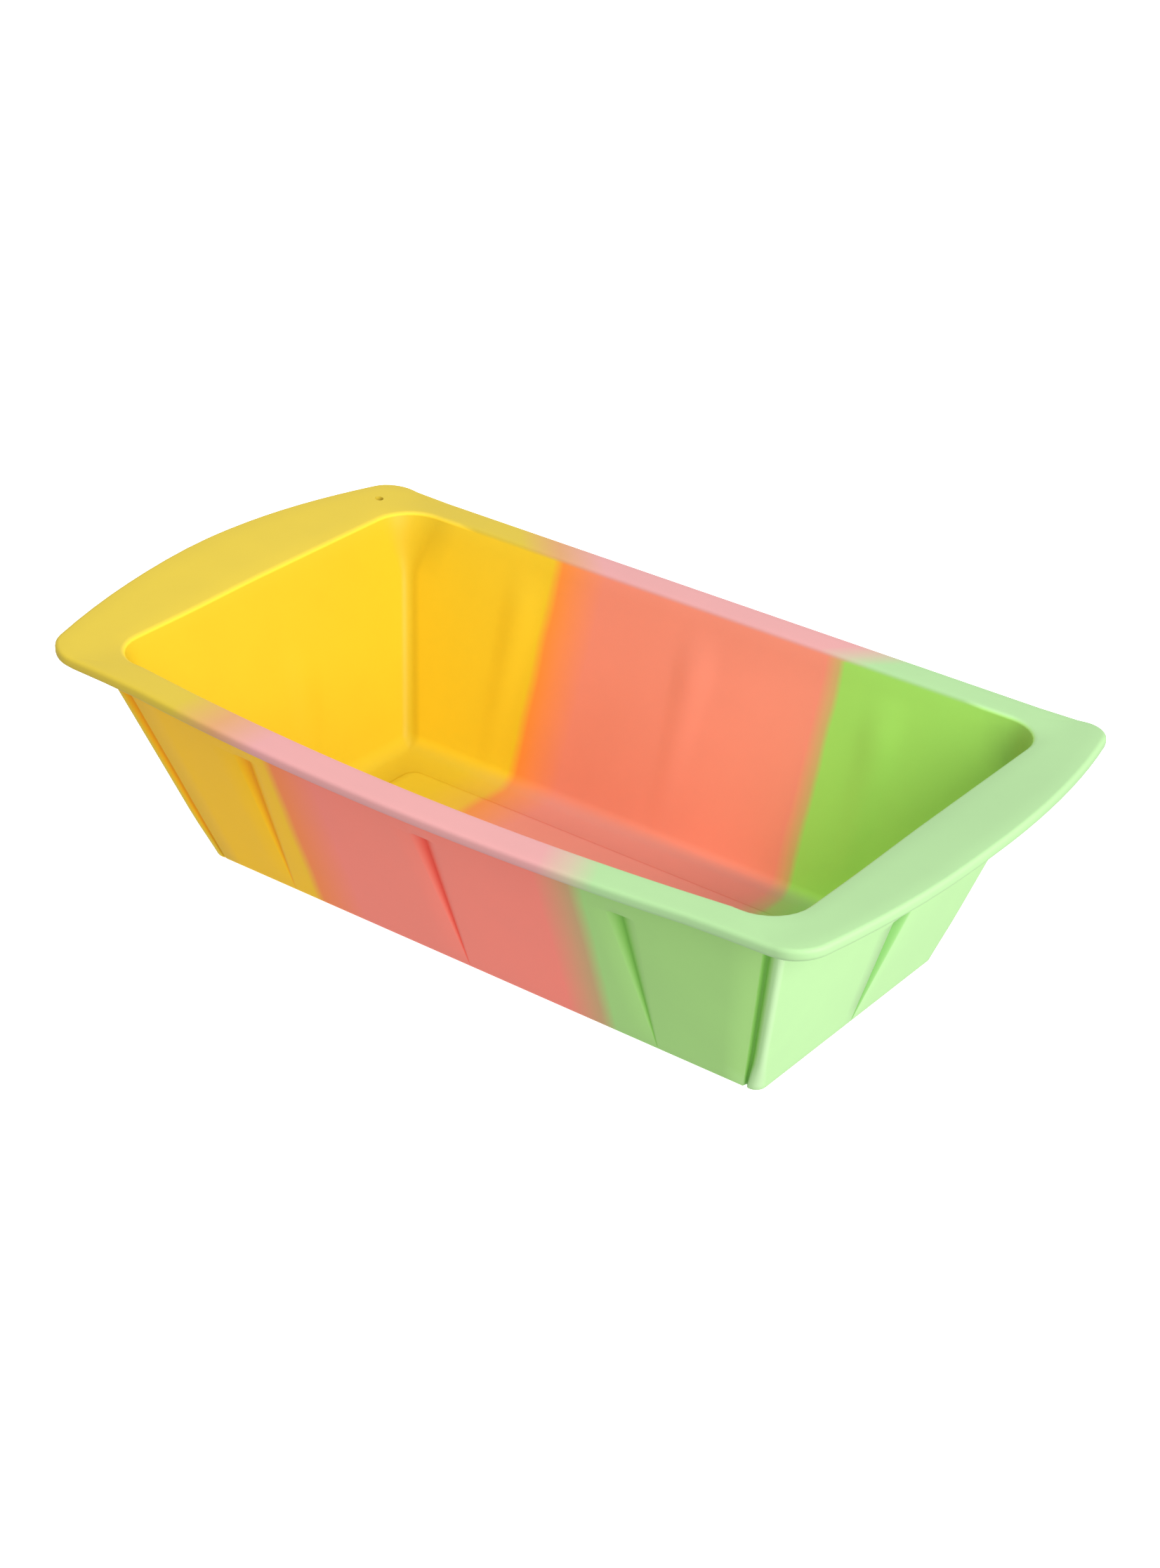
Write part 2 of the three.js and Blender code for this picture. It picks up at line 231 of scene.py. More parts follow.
class Skin:
    """The whole tray's skin: matching rings of points from the floor, over the rim, to the base."""

    def __init__(self, sizes):
        self.sizes = sizes
        self.levels = self.section()
        self.rings = [self.ring(level) for level in self.levels]

    # ----- outlines at a height -----
    def flare(self, z):
        return z / self.sizes.rim_height

    def outside(self, z):
        return Outline(
            mix(BASE.length, MOUTH.length + self.sizes.end_wall, self.flare(z)),
            mix(BASE.width, MOUTH.width + self.sizes.wall, self.flare(z)),
            mix(BASE.corner, OUTER_CORNER, smooth(z / OUTER_CORNER_RISE)),
        )

    def inside(self, z):
        outer = self.outside(z)
        rounding = smooth((self.flare(z) - MOUTH_CORNER_START) / (1 - MOUTH_CORNER_START))
        corner = mix(INNER_CORNER, MOUTH.corner, rounding)
        return Outline(outer.length - self.sizes.end_wall, outer.width - self.sizes.wall, corner)

    @staticmethod
    def shrunk(outline, inset):
        return Outline(
            outline.length - inset, outline.width - inset, max(outline.corner - inset, HAIRLINE)
        )

    # ----- the section, from the floor's middle round to the base's -----
    def section(self):
        s = self.sizes
        levels = []

        def add(outline, z, face, across=None):
            levels.append(Level(outline, z, face, across))

        floor = self.inside(s.floor)
        flat = self.shrunk(floor, s.foot_round)
        for inset, share in ((s.plateau_inset, 1), (s.plateau_inset - 0.5 * s.plateau_slope, 0.5),
                             (s.plateau_inset - s.plateau_slope, 0)):
            outline = self.shrunk(flat, inset)._replace(corner=PLATEAU_CORNER)
            add(outline, s.floor + share * s.plateau, "floor")
        for step in range(2 * ROUND_STEPS + 1):
            angle = step / (2 * ROUND_STEPS) * math.pi / 2
            z = s.floor + s.foot_round * (1 - math.cos(angle))
            add(self.shrunk(self.inside(z), s.foot_round * (1 - math.sin(angle))), z, "inside")

        lip_foot = s.rim_height - s.lip_round
        stops = [s.floor + s.foot_round, s.end_pleat_top, s.end_pleat_top + RIDGE_FADE,
                 s.side_pleat_top, s.side_pleat_top + RIDGE_FADE, lip_foot]
        for z in self.divided(stops)[1:]:
            add(self.inside(z), z, "inside")
        for step in range(1, ROUND_STEPS + 1):
            angle = step / ROUND_STEPS * math.pi / 2
            z = lip_foot + s.lip_round * math.sin(angle)
            out = s.lip_round * (1 - math.cos(angle))
            add(self.shrunk(self.inside(z), -out), z, "inside", 0.0)

        self.add_rim(add)

        underside = s.rim_height - s.rim_thickness
        add(self.shrunk(self.outside(underside), -RIM_FILLET), underside, "rim", FILLET_ACROSS)
        stops = [underside - RIM_FILLET, s.side_pleat_top + PLEAT_LEDGE, s.side_pleat_top,
                 s.end_pleat_top + PLEAT_LEDGE, s.end_pleat_top, PLEAT_FOOT, s.base_round]
        for z in self.divided(stops):
            add(self.outside(z), z, "outside")
        for step in range(1, ROUND_STEPS + 1):
            angle = step / ROUND_STEPS * math.pi / 2
            z = s.base_round * (1 - math.sin(angle))
            add(self.shrunk(self.outside(z), s.base_round * (1 - math.cos(angle))), z, "outside")
        add(self.shrunk(self.outside(0), s.plateau_inset), 0, "outside")
        return levels

    def add_rim(self, add):
        """The rim's flat top, from just past the lip to its rounded edge, and the edge itself."""
        s = self.sizes
        lip = self.shrunk(self.inside(s.rim_height), -s.lip_round)
        flat = self.shrunk(RIM, s.rim_round)
        for step in range(1, ROUND_STEPS):
            share = step / ROUND_STEPS
            between = Outline(*(mix(a, b, share) for a, b in zip(lip, flat)))
            add(between, s.rim_height, "rim", share)
        underside = s.rim_height - s.rim_thickness
        turns = [step / ROUND_STEPS * math.pi / 2 for step in range(ROUND_STEPS + 1)]
        for angle in turns:
            out, down = math.sin(angle), 1 - math.cos(angle)
            add(self.shrunk(RIM, s.rim_round * (1 - out)), s.rim_height - s.rim_round * down, "rim", 1.0)
        for angle in turns:
            down, back = math.sin(angle), 1 - math.cos(angle)
            add(self.shrunk(RIM, s.rim_round * back), underside + s.rim_round * (1 - down), "rim", 1.0)

    @staticmethod
    def divided(stops):
        """Heights from the first stop to the last, through every stop, closer on a pleat's ledge."""
        heights = [stops[0]]
        for start, end in zip(stops, stops[1:]):
            steps = max(math.ceil(abs(end - start) / WALL_STEP), 1)
            if math.isclose(abs(end - start), PLEAT_LEDGE, rel_tol=1e-6):
                steps = ROUND_STEPS
            heights += [mix(start, end, step / steps) for step in range(1, steps + 1)]
        return heights

    # ----- folds -----
    def pleat(self, level, top, half_width, depth):
        """(how open a pleat is, its half width, its depth) at a level."""
        soft = level.face in SOFT_FACES
        growth = clamp((level.z - PLEAT_FOOT) / (top - PLEAT_FOOT))
        closing = 1 - smooth((level.z - top) / (RIDGE_FADE if soft else PLEAT_LEDGE))
        if level.face == "rim":
            closing = 0
        width = half_width * growth + (RIDGE_SPREAD if soft else CLOSED_FOLD)
        return growth, width, depth * growth * closing * (RIDGE_SHARE if soft else 1)

    @staticmethod
    def folded(at, half_width, depth, fold):
        """(place, push in, painted shade) across a fold: sharply cored if one is given, or else a soft
        wave.
        """
        core = fold.core if fold else PLEAT_FOLD.core
        places = [mix(-1, core, step / FLANK_STEPS[0]) for step in range(FLANK_STEPS[0])]
        places += [mix(core, 1, step / FLANK_STEPS[1]) for step in range(FLANK_STEPS[1] + 1)]
        stops = []
        for place in places:
            if not fold:
                share = (1 + math.cos(math.pi * place)) / 2
            elif place <= core:
                share = ((place + 1) / (core + 1)) ** fold.near_curve
            else:
                share = ((1 - place) / (1 - core)) ** fold.far_curve
            deepened = fold.dye * share ** fold.deepening if fold and depth > 0 else 0
            stops.append((at + place * half_width, depth * share, deepened))
        return stops

    def stepped(self, level, half, end):
        """Stops across the groove from a panel's edge to the corner, in rising x."""
        outer = level.face == "outside"
        edge = half - STEP_INSIDE
        if outer:
            edge = level.outline.length - mix(*STEP_PLACES[end], self.flare(level.z))
        depth = self.sizes.step_depth if outer else 0
        stops = [
            (end * mix(edge, half, share), depth * deep, STEP_PAINTED_SHADE * math.sqrt(deep) if outer else 0)
            for share, deep in STEP_PROFILE
        ]
        return stops if end > 0 else stops[::-1]

    def side_stops(self, level, half):
        """Stops along a long side in rising x, with one where each cut crosses it."""
        s = self.sizes
        _, width, depth = self.pleat(level, s.side_pleat_top, s.side_pleat_half, s.side_pleat_depth)
        fold = None if level.face in SOFT_FACES else PLEAT_FOLD
        pleats = [self.folded(at, width, depth, fold) for at in SIDE_PLEATS]
        cuts = [[(cut, 0, 0)] for cut in CUTS]
        steps = [self.stepped(level, half, end) for end in (-1, 1)]
        groups = [steps[0], pleats[0], cuts[0], pleats[1], cuts[1], pleats[2], steps[1]]
        return self.joined(-half, groups, half, SIDE_SPANS)

    def end_stops(self, level, half):
        """Stops along an end in rising y."""
        s = self.sizes
        growth, width, depth = self.pleat(level, s.end_pleat_top, s.end_pleat_half, s.end_pleat_depth)
        middle = DART_EDGE + s.end_pleat_half * growth
        dart = self.folded(middle, width, depth, None if level.face in SOFT_FACES else DART_FOLD)
        return self.joined(-half, [dart], half, END_SPANS)

    @staticmethod
    def joined(first, groups, last, steps):
        """Groups of stops joined up by plain ones, from the first place to the last."""
        stops = [(first, 0, 0)]
        for group, count in zip([*groups, [(last, 0, 0)]], steps):
            start, end = stops[-1][0], group[0][0]
            stops += [(mix(start, end, step / count), 0, 0) for step in range(1, count)]
            stops += group
        return stops

    def seam_x(self, name, level, near):
        """Where a seam crosses a level, on the bowed side (near = 1) or on the straight one (near = 0)."""
        seam = SEAMS[name]
        foot, top, lip, edge = (mix(pair[1], pair[0], near) * MM for pair in seam)
        if level.across is not None:
            return mix(lip, edge, level.across)
        return mix(foot, top, self.flare(level.z))

    # ----- rings -----
    def ring(self, level):
        """Points anticlockwise from the +X end's -Y corner, each with its traits."""
        outline = level.outline
        long_half = outline.length - outline.corner
        end_half = outline.width - outline.corner
        flat = []
        for side in range(4):
            turn = side * math.pi / 2
            out = Vector((round(math.cos(turn)), round(math.sin(turn))))
            along = Vector((-out.y, out.x))
            is_long = side % 2 == 1
            reach = outline.width if is_long else outline.length
            half = long_half if is_long else end_half
            stops = self.side_stops(level, half) if is_long else self.end_stops(level, half)
            if side in (1, 2):
                stops = [(-at, push, fold) for at, push, fold in reversed(stops)]
            flat += [(out * (reach - push) + along * at, fold) for at, push, fold in stops]
            for step in range(1, CORNER_STEPS):
                angle = step / CORNER_STEPS * math.pi / 2
                place = out * (reach - outline.corner * (1 - math.cos(angle)))
                place += along * (half + outline.corner * math.sin(angle))
                # painted shade on the straight wall's corners, a painted highlight on the bowed wall's
                dye = FAR_CORNER_PAINTED_SHADE if place.y > 0 else ARRIS_PAINTED_HIGHLIGHT
                flat.append((place, dye * math.sin(2 * angle)))
        return [self.stood(level, point, fold) for point, fold in flat]

    def stood(self, level, point, fold):
        """A point's place once the soft tray stands, followed by its value of each of TRAITS."""
        s = self.sizes
        x, y = point
        near = clamp(0.5 - 0.5 * y / level.outline.width)
        past = [x - self.seam_x(name, level, near) for name in ("yellow", "green")]
        if level.face == "rim" and level.across is not None:
            bulge = HANDLE_CROWN * (1 - (y / level.outline.width) ** 2)
            x += math.copysign(bulge * level.across, x) if abs(x) > HANDLE_START else 0
        z = level.z
        on_handle = max(abs(x) - MOUTH.length, 0) / (RIM.length + HANDLE_CROWN - MOUTH.length)
        z += s.handle_rise * (1 - HANDLE_CORNER_LOSS * (y / RIM.width) ** 2) * on_handle
        mid_share = max(1 - (x / MOUTH.length) ** 2, CORNER_BOW)
        share = mid_share * smooth(-y / BOW_FADE) * self.flare(level.z)
        place = Vector((x, y - s.bow_out * share, z - s.bow_drop * share))
        return place, *past, *self.looks(level, point, fold)

    def looks(self, level, point, fold):
        """(rim share, inner share, painted shade in folds, painted light gain) at a point."""
        s = self.sizes
        x, y = point
        to_end = level.outline.length - level.outline.corner - abs(x)
        at_end = smooth(1 - to_end / level.outline.corner)
        if level.face == "rim":
            return 1.0, 0.0, 0.0, 0.0
        if level.face == "outside":
            # painted paleness and painted light on the end walls
            at_end *= clamp(level.z / s.base_round)
            return END_PALENESS * at_end, 0.0, fold * clamp(level.z / PLEAT_FOOT), END_PAINTED_LIGHT * at_end
        if level.face == "floor":
            # painted paleness and painted shade on the floor, and a painted shade line on the plateau's
            # slope
            on_slope = s.floor < level.z < s.floor + s.plateau
            return FLOOR_PALENESS, 1.0, PLATEAU_PAINTED_SHADE if on_slope else 0.0, FLOOR_PAINTED_SHADE
        # painted highlight on the mouth's edge, painted shade on the straight wall's
        if level.across is not None:
            round_lip = math.sin(math.pi * clamp((s.rim_height - level.z) / s.lip_round))
            painted_gain = FAR_LIP_PAINTED_SHADE if y > FAR_LIP and not at_end else LIP_PAINTED_HIGHLIGHT
            return smooth((self.flare(level.z) - LIP_START) / LIP_RUN), 1.0, 0.0, painted_gain * round_lip
        # painted light on the walls' inside: brighter at the foot and near the green end, darker at the
        # rim, the ends and the corners
        on_floor = 1 - smooth((level.z - s.floor) / (FLOOR_FADE * s.foot_round))
        low = 1 - self.flare(level.z)
        painted_gain = mix(INSIDE_PAINTED_LIGHT[1], INSIDE_PAINTED_LIGHT[0], low)
        painted_gain += GLOW_PAINTED_LIGHT * low * smooth((x - GLOW_START) / GLOW_REACH)
        painted_gain = mix(painted_gain, INSIDE_END_PAINTED_SHADE, at_end) + INSIDE_CORNER_PAINTED_SHADE * abs(fold)
        return FLOOR_PALENESS * on_floor, 1.0, 0.0, mix(painted_gain, FLOOR_PAINTED_SHADE, on_floor)


class Builder:
    """Turns the skin into closed pieces, cut where the colours meet."""

    def __init__(self, skin):
        self.count = len(skin.rings[0])
        side = len(skin.side_stops(skin.levels[0], BASE.length))
        self.side_count = side
        self.end_count = self.count // 2 - side - 2 * (CORNER_STEPS - 1)
        self.points = [point for ring in skin.rings for point in ring]
        self.faces = []
        for ring in range(len(skin.rings) - 1):
            for i in range(self.count):
                after = (i + 1) % self.count
                low, high = ring * self.count, (ring + 1) * self.count
                self.faces.append((low + i, high + i, high + after, low + after))
        self.fill(0, flip=False)
        self.fill(len(skin.rings) - 1, flip=True)

    def fill(self, ring, flip):
        """A grid of faces across the inside of a ring, whose columns join the two long sides."""
        half = CORNER_STEPS // 2
        start = self.count - half          # the middle of the corner between -Y and +X
        across = self.end_count - 1 + 2 * half
        along = self.side_count - 1 + 2 * half
        order = [(start + i) % self.count + ring * self.count for i in range(self.count)]
        end_plus = order[0:across + 1]
        far = order[across:across + along + 1][::-1]
        end_minus = order[across + along:2 * across + along + 1][::-1]
        near = order[2 * across + along:] + order[:1]
        rows = [
            (self.points[i][0].y - self.points[end_plus[0]][0].y)
            / (self.points[end_plus[-1]][0].y - self.points[end_plus[0]][0].y)
            for i in end_plus
        ]
        grid = []
        for column in range(along + 1):
            if column == 0:
                grid.append(end_minus)
            elif column == along:
                grid.append(end_plus)
            else:
                grid.append([near[column]])
                for share in rows[1:-1]:
                    grid[-1].append(len(self.points))
                    self.points.append(self.between(near[column], far[column], share))
                grid[-1].append(far[column])
        for left, right in zip(grid, grid[1:]):
            for row in range(across):
                face = (left[row], right[row], right[row + 1], left[row + 1])
                self.faces.append(face[::-1] if flip else face)

    def between(self, a, b, share):
        first, second = self.points[a], self.points[b]
        return tuple(mix(one, other, share) for one, other in zip(first, second))

    def piece(self, name, start, end):
        """A closed mesh of the faces between two planes across the tray, capped where it is cut."""
        bm = bmesh.new()
        layers = [bm.verts.layers.float.new(key) for key in TRAITS]
        verts = {}
        for face in self.faces:
            middle = sum(self.points[i][0].x for i in face) / len(face)
            if not start < middle < end:
                continue
            for i in face:
                if i not in verts:
                    verts[i] = bm.verts.new(self.points[i][0] / MM)
                    for layer, value in zip(layers, self.points[i][1:]):
                        verts[i][layer] = value
            made = bm.faces.new([verts[i] for i in face])
            made.smooth = True
        open_edges = [edge for edge in bm.edges if len(edge.link_faces) == 1]
        for cut in CUTS:
            loop = [edge for edge in open_edges if abs(edge.verts[0].co.x - cut / MM) < 0.01]
            cap = bmesh.ops.holes_fill(bm, edges=loop, sides=0)["faces"]
            bmesh.ops.triangulate(bm, faces=cap, ngon_method="EAR_CLIP")
            for edge in loop:
                edge.smooth = False
        bmesh.ops.recalc_face_normals(bm, faces=bm.faces)
        loose = [edge for edge in bm.edges if len(edge.link_faces) != 2]
        if loose:
            raise RuntimeError(f"{name} has {len(loose)} open edges")
        bmesh.ops.scale(bm, vec=(MM, MM, MM), verts=bm.verts)
        mesh = bpy.data.meshes.new(name)
        bm.to_mesh(mesh)
        bm.free()
        obj = bpy.data.objects.new(name, mesh)
        bpy.context.scene.collection.objects.link(obj)
        return obj


# ================= the silicone =================
def linear(code):
    """An sRGB hex colour as linear red, green, blue and alpha."""
    parts = [int(code[i:i + 2], 16) / 255 for i in (0, 2, 4)]
    curve = [c / 12.92 if c <= 0.04045 else ((c + 0.055) / 1.055) ** 2.4 for c in parts]
    return (*curve, 1.0)


def put(tree, kind, place, settings=None, **links):
    """Adds a node of a kind, sets its properties or inputs, and links its inputs.

    A link's key is its input's name with _ for each space, or _ and its number.
    """
    node = tree.nodes.new(kind)
    node.location = place
    for key, value in (settings or {}).items():
        if isinstance(key, str) and hasattr(node, key) and key not in node.inputs:
            setattr(node, key, value)
        else:
            node.inputs[key].default_value = value
    for key, source in links.items():
        target = node.inputs[int(key[1:])] if key[1:].isdigit() else node.inputs[key.replace("_", " ")]
        tree.links.new(source, target)
    return node


def colour_run(tree, place, stops, distance):
    """A ramp over the distance past a seam. Stops are (millimetres past the seam, colour)."""
    scaled = put(tree, "ShaderNodeMapRange", (place[0] - 180, place[1]), {
        "From Min": -RUN_REACH, "From Max": RUN_REACH,
    }, Value=distance)
    ramp = put(tree, "ShaderNodeValToRGB", place, Fac=scaled.outputs[0])
    elements = ramp.color_ramp.elements
    for index, (past, colour) in enumerate(stops):
        position = (past * MM + RUN_REACH) / (2 * RUN_REACH)
        element = elements[index] if index < 2 else elements.new(position)
        element.position = position
        element.color = (*colour, 1)
    return ramp.outputs[0]


def moulded_silicone(name, tones):
    """Platinum silicone from a blasted steel tool: satin and waxy, and a little light passes it."""
    material = bpy.data.materials.new(name)
    material.use_nodes = True
    tree = material.node_tree
    tree.nodes.clear()
    coordinates = put(tree, "ShaderNodeTexCoord", (-1700, -200))
    where = coordinates.outputs["Object"]

    # The charges flow a little before they cure, so a seam wanders.
    flow = put(tree, "ShaderNodeTexNoise", (-1500, 300), {
        "Scale": 1 / tones.flow_grain, "Detail": 2.0, "Roughness": 0.5,
    }, Vector=where)
    wander = put(tree, "ShaderNodeMapRange", (-1300, 300), {
        "To Min": -tones.seam_wander, "To Max": tones.seam_wander,
    }, Value=flow.outputs[0])

    def trait(key, y):
        return put(tree, "ShaderNodeAttribute", (-1300, y), {"attribute_name": key}).outputs["Fac"]

    def past_seam(key, y):
        return put(tree, "ShaderNodeMath", (-1100, y), {"operation": "ADD"},
                   _0=trait(key, y), _1=wander.outputs[0]).outputs[0]

    past_yellow = past_seam("past_yellow", 100)
    past_green = past_seam("past_green", -100)

    def along_tray(y, face, yellow_stops, green_stops):
        """The colour from the yellow end to the green one, on one face of the tray."""
        def tinted(stops):
            return [(past, getattr(tones, f"{face}_{tone}")) for past, tone in stops]

        first = colour_run(tree, (-800, y), tinted(yellow_stops), past_yellow)
        second = colour_run(tree, (-800, y - 250), tinted(green_stops), past_green)
        ahead = put(tree, "ShaderNodeMapRange", (-800, y - 450), {
            "From Min": HANDOVER[0], "From Max": HANDOVER[1],
        }, Value=past_green)
        return put(tree, "ShaderNodeMix", (-500, y - 150), {"data_type": "RGBA"},
                   _0=ahead.outputs[0], _6=first, _7=second).outputs[2]

    # Painted light: the rim's, the outside's and the inside's colours are lit and shaded copies of each
    # silicone.
    rim_colour = along_tray(1500, "rim", RIM_YELLOW_RUN, RIM_GREEN_RUN)
    outer_colour = along_tray(900, "outer", WALL_YELLOW_RUN, OUTER_GREEN_RUN)
    inner_colour = along_tray(300, "inner", WALL_YELLOW_RUN, INNER_GREEN_RUN)
    walls = put(tree, "ShaderNodeMix", (-250, 600), {"data_type": "RGBA"},
                _0=trait("inner_share", 700), _6=outer_colour, _7=inner_colour)
    colour = put(tree, "ShaderNodeMix", (-100, 900), {"data_type": "RGBA"},
                 _0=trait("rim_share", 900), _6=walls.outputs[2], _7=rim_colour)

    # Painted shade deepens the colour in folds, grooves, corners turned from the light and round the
    # floor's plateau; a painted highlight makes the bowed wall's corners paler.
    depth = put(tree, "ShaderNodeMapRange", (-300, 1150), {
        "clamp": False, "To Min": 1.0, "To Max": tones.painted_fold_shade,
    }, Value=trait("painted_shade_and_highlight", 1150))
    deepened = put(tree, "ShaderNodeGamma", (50, 900), Color=colour.outputs[2], Gamma=depth.outputs[0])

    # Pigment is never stirred in quite evenly.
    cloud = put(tree, "ShaderNodeTexNoise", (-500, -500), {
        "Scale": 1 / CLOUD_GRAIN, "Detail": 3.0, "Roughness": 0.55,
    }, Vector=where)
    strength = put(tree, "ShaderNodeMapRange", (-300, -500), {
        "To Min": CLOUD_STRENGTH[0], "To Max": CLOUD_STRENGTH[1],
    }, Value=cloud.outputs[0])
    # Painted light and shade: the gain makes a part brighter or darker on top of the pigment's patches.
    cloud_and_painted_light = put(tree, "ShaderNodeMath", (-50, -500), {"operation": "MULTIPLY_ADD"},
                 _0=strength.outputs[0], _1=trait("painted_gain", -500), _2=strength.outputs[0])
    mottled = put(tree, "ShaderNodeVectorMath", (200, 700), {"operation": "MULTIPLY"},
                  _0=deepened.outputs[0], _1=cloud_and_painted_light.outputs[0]).outputs[0]

    # The finish: fine pits from the tool over long shallow ripples, which break up the highlights.
    pits = put(tree, "ShaderNodeTexNoise", (-500, -750), {
        "Scale": 1 / PIT_GRAIN, "Detail": 1.0, "Roughness": 0.6,
    }, Vector=where)
    ripple = put(tree, "ShaderNodeTexNoise", (-500, -1000), {
        "Scale": 1 / RIPPLE_GRAIN, "Detail": 1.0, "Roughness": 0.4,
    }, Vector=where)
    waves = put(tree, "ShaderNodeBump", (-250, -1000), {"Strength": 0.5, "Distance": RIPPLE_DEPTH},
                Height=ripple.outputs[0])
    grain = put(tree, "ShaderNodeBump", (-50, -800), {"Strength": 0.35, "Distance": PIT_DEPTH},
                Height=pits.outputs[0], Normal=waves.outputs[0])
    satin = put(tree, "ShaderNodeMapRange", (-250, -300), {"To Min": SATIN[0], "To Max": SATIN[1]},
                Value=cloud.outputs[0])

    surface = put(tree, "ShaderNodeBsdfPrincipled", (450, 300), {"IOR": 1.41, "Specular IOR Level": 0.3},
                  Base_Color=mottled, Roughness=satin.outputs[0], Normal=grain.outputs[0])
    glow = put(tree, "ShaderNodeBsdfTranslucent", (450, -100), Color=mottled)
    both = put(tree, "ShaderNodeMixShader", (750, 200), {0: tones.glow},
               _1=surface.outputs[0], _2=glow.outputs[0])
    put(tree, "ShaderNodeOutputMaterial", (950, 200), Surface=both.outputs[0])
    return material


# ================= settings =================
def length(name, description, millimetres):
    return FloatProperty(
        name=name, description=description, default=millimetres * MM, unit="LENGTH", subtype="DISTANCE"
    )


def tint(name, description, code):
    return FloatVectorProperty(
        name=name, description=description, default=linear(code)[:3], subtype="COLOR", min=0, max=1
    )


class LoafMouldSizes(bpy.types.PropertyGroup):
    """Sizes of the pressed tray."""

    rim_height: length("Rim height", "Height of the long rims above the table", 68.7)
    rim_thickness: length("Rim thickness", "Thickness of the rim and handles", 3.5)
    rim_round: length("Rim rounding", "Rounding of the rim's outer edges", 1.2)
    lip_round: length("Lip rounding", "Rounding of the mouth's edge", 1.1)
    wall: length("Wall", "Thickness of the long walls", 2.1)
    end_wall: length("End wall", "Thickness of the end walls", 2.9)
    floor: length("Floor", "Thickness of the floor", 2.4)
    base_round: length("Base rounding", "Rounding of the foot's edge", 0.8)
    foot_round: length("Inside rounding", "Rounding between the floor and the walls", 4)
    plateau: length("Plateau", "How far the middle of the floor is raised", 0.8)
    plateau_inset: length("Plateau inset", "From the walls' foot to the raised middle", 9)
    plateau_slope: length("Plateau slope", "Width of the slope round the raised middle", 1.6)
    handle_rise: length("Handle rise", "How far the middle of a handle turns up", 4.1)
    bow_out: length("Bow", "How far the soft rim bows out", 5.7)
    bow_drop: length("Sag", "How far the bowed rim sinks", 2)
    side_pleat_top: length("Side pleat top", "Height of the long walls' pleats", 51)
    side_pleat_half: length("Side pleat half width", "Half width of those pleats at their top", 4.3)
    side_pleat_depth: length("Side pleat depth", "Depth of those pleats at their top", 2.4)
    end_pleat_top: length("End pleat top", "Height of the end walls' pleats", 34.5)
    end_pleat_half: length("End pleat half width", "Half width of those pleats at their top", 4.6)
    end_pleat_depth: length("End pleat depth", "Depth of those pleats at their top", 1.9)
    step_depth: length("Step depth", "Depth of the steps beside the corners", 1.3)
    pin_radius: length("Pin hole radius", "Radius of the hole that a moulding pin leaves", 1.3)


class LoafMouldTones(bpy.types.PropertyGroup):
    """Colours of the silicone on the rim, on the outside of the walls and inside the tray: lit and shaded
    copies, painted to stand in for the lit rim, light through the thin walls and light bouncing round the
    tray.
    """

    rim_yellow: tint("Rim yellow", "Yellow of the rim and handle", "D4BB3D")
    rim_orange: tint("Rim orange", "Where yellow meets pink on the rim", "D8A16E")
    rim_pink: tint("Rim pink", "Pink of the rim", "DDA1A0")
    rim_sand: tint("Rim sand", "Where pink meets green on the rim", "C9BA9F")
    rim_green: tint("Rim green", "Green of the rim and handle", "AAD297")
    outer_yellow: tint("Outer yellow", "Yellow of the walls' outside", "FFCB14")
    outer_orange: tint("Outer orange", "Where yellow meets pink outside", "FF8F4A")
    outer_pink: tint("Outer pink", "Pink of the walls' outside", "FF8C7B")
    outer_sand: tint("Outer sand", "Where pink meets green outside", "D0AA78")
    outer_green: tint("Outer green", "Green of the walls' outside", "AADC82")
    inner_yellow: tint("Inner yellow", "Yellow of the walls' inside and the floor", "F0CC28")
    inner_orange: tint("Inner orange", "Where yellow meets pink inside", "F9953F")
    inner_pink: tint("Inner pink", "Pink of the walls' inside and the floor", "EF8F76")
    inner_sand: tint("Inner sand", "Where pink meets green inside", "CEAD6C")
    inner_green: tint("Inner green", "Green of the walls' inside and the floor", "A0D860")
    glow: FloatProperty(
        name="Glow", description="Share of light that passes through", default=0.12, min=0, max=1
    )
    # painted shade in folds: how much it deepens their colour
    painted_fold_shade: FloatProperty(
        name="Fold depth", description="How much a fold deepens its colour", default=1.7
    )
    flow_grain: length("Flow grain", "Size of the waves in a seam", 18)
    seam_wander: length("Seam wander", "How far a seam wanders from its line", 0.9)


class LoafMouldStudio(bpy.types.PropertyGroup):
    """The light on the sweep."""

    key_power: FloatProperty(name="Key", description="Power of the main light", default=25, unit="POWER")
    top_power: FloatProperty(name="Top", description="Power of the light overhead", default=5, unit="POWER")
    sky: FloatProperty(name="Sky", description="Strength of the even light all round", default=0.75)


class LoafMouldSettings(bpy.types.PropertyGroup):
    """All the settings of the mould and its studio."""

    sizes: PointerProperty(type=LoafMouldSizes)
    tones: PointerProperty(type=LoafMouldTones)
    studio: PointerProperty(type=LoafMouldStudio)


